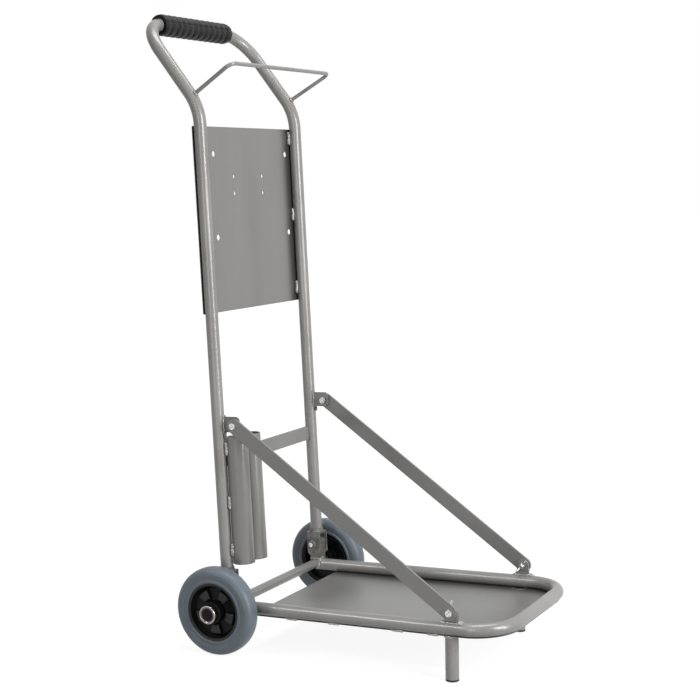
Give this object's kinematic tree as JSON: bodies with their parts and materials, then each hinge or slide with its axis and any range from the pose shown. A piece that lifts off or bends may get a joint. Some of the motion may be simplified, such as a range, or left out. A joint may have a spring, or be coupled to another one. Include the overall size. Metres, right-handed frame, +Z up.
{
  "type": "hand truck",
  "caption": "Tubular steel hand truck on two solid wheels, with a folding tray on feet, flat braces, a drilled back plate, pole holders, a wire loop and a rubber grip.",
  "frame": {"origin": "middle of the footprint on the floor, centred between the nose and the rear of the grip", "axes": "+Z up, -Y toward the nose, +Y toward the grip, +X to the right as seen from in front of the nose"},
  "size_m": [0.5236, 0.7944, 1.2775],
  "materials": {
    "silver_coat": "satin silver-grey coat over steel",
    "zinc": "bright zinc plate",
    "chrome": "bright",
    "black_rubber": "ribbed, matt",
    "black_plastic": "moulded, satin",
    "grey_tyre": "solid grey rubber"
  },
  "bodies": {
    "tray": {"tray_frame": "silver_coat", "tray_pan": "silver_coat", "axle": "silver_coat", "hinge_post_left": "silver_coat", "hinge_post_right": "silver_coat", "lower_lug_left": "silver_coat", "lower_lug_right": "silver_coat", "lower_bolt_ends": "zinc", "wing_nuts": "zinc", "foot_left": "silver_coat", "foot_right": "silver_coat", "foot_cap_left": "black_plastic", "foot_cap_right": "black_plastic", "axle_spacers": "zinc", "hub_cap_left": "chrome", "hub_cap_right": "chrome"},
    "handle": {"handle_tube": "silver_coat", "handle_grip": "black_rubber", "back_plate": "silver_coat", "plate_welds": "silver_coat", "loop_hook": "silver_coat", "cross_strap": "silver_coat", "holder_pipe_outer": "silver_coat", "holder_pipe_inner": "silver_coat", "holder_welds": "silver_coat", "upper_lug_left": "silver_coat", "upper_lug_right": "silver_coat", "upper_bolts": "zinc", "upper_nuts": "zinc", "upper_washers": "zinc", "clevis_left": "silver_coat", "clevis_right": "silver_coat", "hinge_bolts": "zinc", "hinge_nuts": "zinc", "hinge_washers": "zinc"},
    "left_brace": {"brace_left": "silver_coat", "lower_bolt_left": "zinc"},
    "right_brace": {"brace_right": "silver_coat", "lower_bolt_right": "zinc"},
    "left_wheel": {"wheel_rim_left": "black_plastic", "tyre_left": "grey_tyre"},
    "right_wheel": {"wheel_rim_right": "black_plastic", "tyre_right": "grey_tyre"}
  },
  "joints": [
    {"name": "handle_fold", "type": "hinge", "parent": "tray", "child": "handle", "pos_m": [0, 0.20831, 0.13387], "axis": [1, 0, 0], "range_deg": [0, 66]},
    {"name": "left_brace_swing", "type": "hinge", "parent": "handle", "child": "left_brace", "pos_m": [-0.1845, 0.18106, 0.45662], "axis": [1, 0, 0], "range_deg": [-127.05, 0]},
    {"name": "right_brace_swing", "type": "hinge", "parent": "handle", "child": "right_brace", "pos_m": [0.1845, 0.18106, 0.45662], "axis": [1, 0, 0], "range_deg": [-127.05, 0]},
    {"name": "left_wheel_spin", "type": "hinge", "parent": "tray", "child": "left_wheel", "pos_m": [-0.2245, 0.20674, 0.0889], "axis": [1, 0, 0], "continuous": true},
    {"name": "right_wheel_spin", "type": "hinge", "parent": "tray", "child": "right_wheel", "pos_m": [0.2245, 0.20674, 0.0889], "axis": [1, 0, 0], "continuous": true}
  ],
  "couplings": [
    {"joint": "left_brace_swing", "follows": "handle_fold", "ratio": -1.9175},
    {"joint": "right_brace_swing", "follows": "handle_fold", "ratio": -1.9175}
  ]
}
